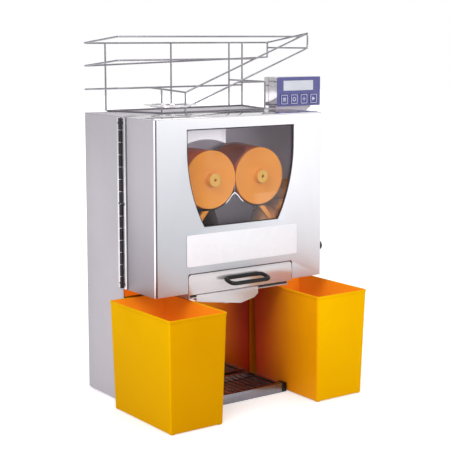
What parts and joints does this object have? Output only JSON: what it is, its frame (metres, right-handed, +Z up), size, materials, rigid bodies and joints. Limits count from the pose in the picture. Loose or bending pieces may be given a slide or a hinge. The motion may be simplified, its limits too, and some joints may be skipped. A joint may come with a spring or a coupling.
{
  "type": "automatic orange juicer",
  "caption": "Countertop orange juicer: folded steel housing with a hinged windowed door over a drum press, wire fruit basket on top, juice tray and peel bins in front.",
  "frame": {"origin": "middle of the underside of the whole object's box, on the counter", "axes": "+X to the machine's right seen from the front, +Y to its back, +Z up"},
  "size_m": [0.613, 0.403, 0.81],
  "materials": {
    "brushed_stainless": "fine brushed stainless sheet",
    "mirror_stainless": "bright polished stainless",
    "wire_steel": "bright drawn steel wire",
    "cast_metal": "machined grey metal",
    "motor_paint": "satin dark paint",
    "foot_rubber": "matt black rubber",
    "black_plastic": "satin black plastic",
    "dark_grey_plastic": "satin dark grey plastic",
    "grey_plastic": "satin grey plastic",
    "white_plastic": "smooth white",
    "orange_plastic": "smooth food-grade orange plastic",
    "amber_plastic": "smooth translucent amber plastic",
    "blue_plastic": "satin blue-violet overlay",
    "board_laminate": "green circuit board",
    "tinted_clear_plastic": "clear grey-tinted sheet"
  },
  "bodies": {
    "machine": {"housing_wrap": "brushed_stainless", "top_shelf": "brushed_stainless", "front_plate": "mirror_stainless", "rear_cover": "brushed_stainless", "base_plate": "brushed_stainless", "foot_rear_left": "foot_rubber", "foot_rear_right": "foot_rubber", "foot_front_left": "foot_rubber", "foot_front_right": "foot_rubber", "mains_module": "black_plastic", "door_sensor": "black_plastic", "hinge_leaf_body": "brushed_stainless", "bearing_carrier": "cast_metal", "drive_frame": "brushed_stainless", "gear_motor": "motor_paint", "wedge_block": "grey_plastic", "knife_blade": "mirror_stainless", "ejector_left": "orange_plastic", "ejector_right": "orange_plastic", "feed_chute": "white_plastic", "drawer_runners": "brushed_stainless", "control_bracket": "brushed_stainless", "control_case": "mirror_stainless", "control_face": "blue_plastic", "control_board": "board_laminate"},
    "door": {"door_shell": "brushed_stainless", "door_window": "tinted_clear_plastic", "door_plate": "white_plastic", "door_pull": "black_plastic", "door_magnet": "black_plastic", "hinge_leaf_door": "brushed_stainless"},
    "cups_left": {"cup_drum_left": "orange_plastic", "cup_disc_left": "orange_plastic", "cup_shaft_left": "cast_metal", "cup_gear_left": "cast_metal"},
    "cups_right": {"cup_drum_right": "orange_plastic", "cup_disc_right": "orange_plastic", "cup_shaft_right": "cast_metal", "cup_gear_right": "cast_metal"},
    "balls_left": {"ball_drum_left": "orange_plastic", "ball_shaft_left": "cast_metal"},
    "balls_right": {"ball_drum_right": "orange_plastic", "ball_shaft_right": "cast_metal"},
    "pinion": {"drive_pinion": "cast_metal"},
    "drawer": {"filter_drawer": "brushed_stainless", "drawer_handle": "black_plastic"},
    "trough": {"juice_trough": "brushed_stainless"},
    "tray": {"drip_tray": "brushed_stainless", "tray_cap_left": "black_plastic", "tray_cap_right": "black_plastic"},
    "grille": {"drip_grille": "mirror_stainless"},
    "bin_left": {"peel_bin_left": "amber_plastic"},
    "bin_right": {"peel_bin_right": "amber_plastic"},
    "basket": {"basket_frame": "wire_steel", "feed_collar": "wire_steel"},
    "rocker": {"mains_rocker": "dark_grey_plastic"},
    "key_1": {"key_cap_1": "blue_plastic"},
    "key_2": {"key_cap_2": "blue_plastic"},
    "key_3": {"key_cap_3": "blue_plastic"},
    "key_4": {"key_cap_4": "blue_plastic"}
  },
  "joints": [
    {"name": "door_swing", "type": "hinge", "parent": "machine", "child": "door", "pos_m": [-0.2715, 0.0425, 0.4445], "axis": [0, 0, -1], "range_deg": [0, 110]},
    {"name": "cups_left_spin", "type": "hinge", "parent": "machine", "child": "cups_left", "pos_m": [-0.1065, -0.0175, 0.4964], "axis": [0, 1, 0], "continuous": true},
    {"name": "cups_right_spin", "type": "hinge", "parent": "machine", "child": "cups_right", "pos_m": [0.0195, -0.0175, 0.4964], "axis": [0, 1, 0], "continuous": true},
    {"name": "balls_left_spin", "type": "hinge", "parent": "machine", "child": "balls_left", "pos_m": [-0.18075, -0.0175, 0.42215], "axis": [0, 1, 0], "continuous": true},
    {"name": "balls_right_spin", "type": "hinge", "parent": "machine", "child": "balls_right", "pos_m": [0.09375, -0.0175, 0.42215], "axis": [0, 1, 0], "continuous": true},
    {"name": "pinion_spin", "type": "hinge", "parent": "machine", "child": "pinion", "pos_m": [-0.02044, 0.0695, 0.41075], "axis": [0, 1, 0], "continuous": true},
    {"name": "drawer_slide", "type": "slide", "parent": "machine", "child": "drawer", "axis": [0, -1, 0], "range_m": [0, 0.125]},
    {"name": "trough_slide", "type": "slide", "parent": "machine", "child": "trough", "axis": [0, -1, 0], "range_m": [0, 0.11]},
    {"name": "tray_slide", "type": "slide", "parent": "machine", "child": "tray", "axis": [0, -1, 0], "range_m": [0, 0.12]},
    {"name": "grille_lift", "type": "slide", "parent": "tray", "child": "grille", "axis": [0, 0, 1], "range_m": [0, 0.1]},
    {"name": "bin_left_slide", "type": "slide", "parent": "machine", "child": "bin_left", "axis": [0, -1, 0], "range_m": [0, 0.2]},
    {"name": "bin_right_slide", "type": "slide", "parent": "machine", "child": "bin_right", "axis": [0, -1, 0], "range_m": [0, 0.2]},
    {"name": "basket_lift", "type": "slide", "parent": "machine", "child": "basket", "axis": [0, 0, 1], "range_m": [0, 0.1]},
    {"name": "rocker_tip", "type": "hinge", "parent": "machine", "child": "rocker", "pos_m": [0.1365, 0.1928, 0.06], "axis": [1, 0, 0], "range_deg": [0, 20]},
    {"name": "key_1_press", "type": "slide", "parent": "machine", "child": "key_1", "axis": [0, 1, 0], "range_m": [0, 0.0012], "stiffness_N_per_m": 300, "springref_m": -0.001},
    {"name": "key_2_press", "type": "slide", "parent": "machine", "child": "key_2", "axis": [0, 1, 0], "range_m": [0, 0.0012], "stiffness_N_per_m": 300, "springref_m": -0.001},
    {"name": "key_3_press", "type": "slide", "parent": "machine", "child": "key_3", "axis": [0, 1, 0], "range_m": [0, 0.0012], "stiffness_N_per_m": 300, "springref_m": -0.001},
    {"name": "key_4_press", "type": "slide", "parent": "machine", "child": "key_4", "axis": [0, 1, 0], "range_m": [0, 0.0012], "stiffness_N_per_m": 300, "springref_m": -0.001}
  ],
  "couplings": [
    {"joint": "cups_right_spin", "follows": "cups_left_spin", "ratio": -1},
    {"joint": "balls_left_spin", "follows": "cups_left_spin", "ratio": -1.5},
    {"joint": "balls_right_spin", "follows": "cups_left_spin", "ratio": 1.5},
    {"joint": "pinion_spin", "follows": "cups_left_spin", "ratio": 2}
  ]
}
